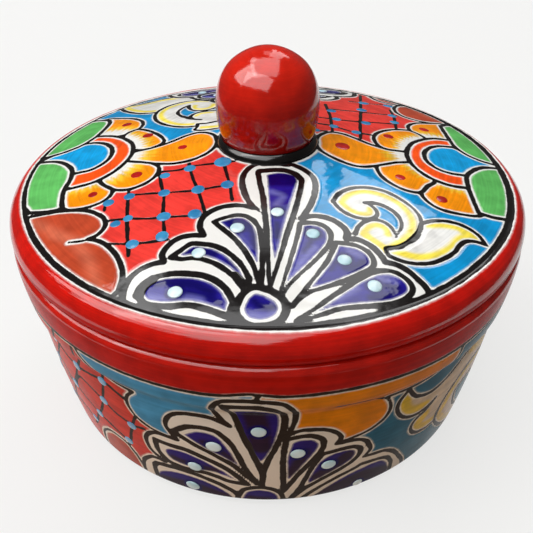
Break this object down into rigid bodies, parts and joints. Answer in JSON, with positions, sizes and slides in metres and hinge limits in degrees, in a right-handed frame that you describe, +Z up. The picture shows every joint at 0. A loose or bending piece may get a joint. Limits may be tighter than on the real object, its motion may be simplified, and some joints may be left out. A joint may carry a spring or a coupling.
{
  "type": "tortilla warmer",
  "caption": "Round glazed earthenware tortilla warmer: a flared dish on a foot ring, with a rolled-rim domed lift-off lid and a ball knob.",
  "frame": {"origin": "centre of the circle that the foot ring stands on", "axes": "+Z up along the axis of the dish and its lid; -Y is the side with the largest painted fan"},
  "size_m": [0.2518, 0.2518, 0.1765],
  "materials": {
    "painted_glaze": "high-gloss glaze over painted decoration on a white ground",
    "red_glaze": "high-gloss red glaze",
    "black_glaze": "high-gloss black glaze",
    "white_glaze": "high-gloss white ground glaze",
    "bare_clay": "unglazed fired earthenware, dry to the touch"
  },
  "bodies": {
    "dish": {"bowl": "painted_glaze", "foot_ring": "bare_clay"},
    "cover": {"lid": "painted_glaze", "lid_flange": "white_glaze", "knob": "red_glaze", "knob_collar": "black_glaze"}
  },
  "joints": [
    {"name": "lid_lift", "type": "slide", "parent": "dish", "child": "cover", "axis": [0, 0, 1], "range_m": [0, 0.15]}
  ]
}
